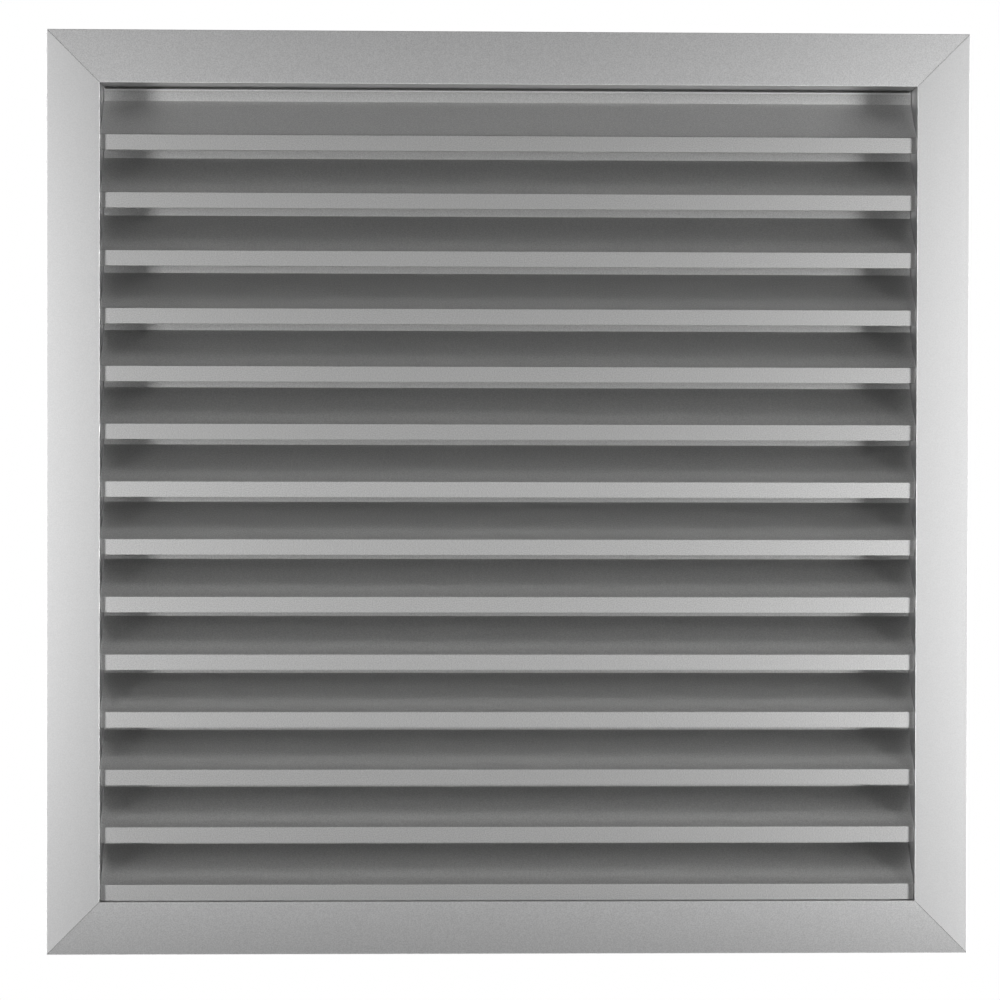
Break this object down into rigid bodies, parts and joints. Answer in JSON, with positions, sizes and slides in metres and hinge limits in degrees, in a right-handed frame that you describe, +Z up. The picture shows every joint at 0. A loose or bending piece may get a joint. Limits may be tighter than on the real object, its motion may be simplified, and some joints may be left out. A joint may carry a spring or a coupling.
{
  "type": "louvred vent grille",
  "caption": "Square flanged aluminium vent grille with fixed forty-five degree weather blades in a mitred frame that seats in a wall opening.",
  "frame": {"origin": "centre of the opening, in the plane of the flange's back face, which lies on the wall", "axes": "+X to the right seen from the front, +Y into the wall, +Z up; the front faces -Y"},
  "size_m": [0.6, 0.035, 0.6],
  "materials": {
    "frame_aluminium": "satin natural anodised",
    "blade_aluminium": "satin natural anodised",
    "cleat_aluminium": "plain mill finish",
    "screw_steel": "plain stainless"
  },
  "bodies": {
    "root": {"frame_top": "frame_aluminium", "frame_bottom": "frame_aluminium", "frame_right": "frame_aluminium", "frame_left": "frame_aluminium", "blade_screws_right": "screw_steel", "blade_screws_left": "screw_steel", "corner_cleat_top_left": "cleat_aluminium", "corner_cleat_top_right": "cleat_aluminium", "corner_cleat_bottom_left": "cleat_aluminium", "corner_cleat_bottom_right": "cleat_aluminium", "blade_01": "blade_aluminium", "blade_02": "blade_aluminium", "blade_03": "blade_aluminium", "blade_04": "blade_aluminium", "blade_05": "blade_aluminium", "blade_06": "blade_aluminium", "blade_07": "blade_aluminium", "blade_08": "blade_aluminium", "blade_09": "blade_aluminium", "blade_10": "blade_aluminium", "blade_11": "blade_aluminium", "blade_12": "blade_aluminium", "blade_13": "blade_aluminium", "blade_14": "blade_aluminium"}
  },
  "joints": []
}
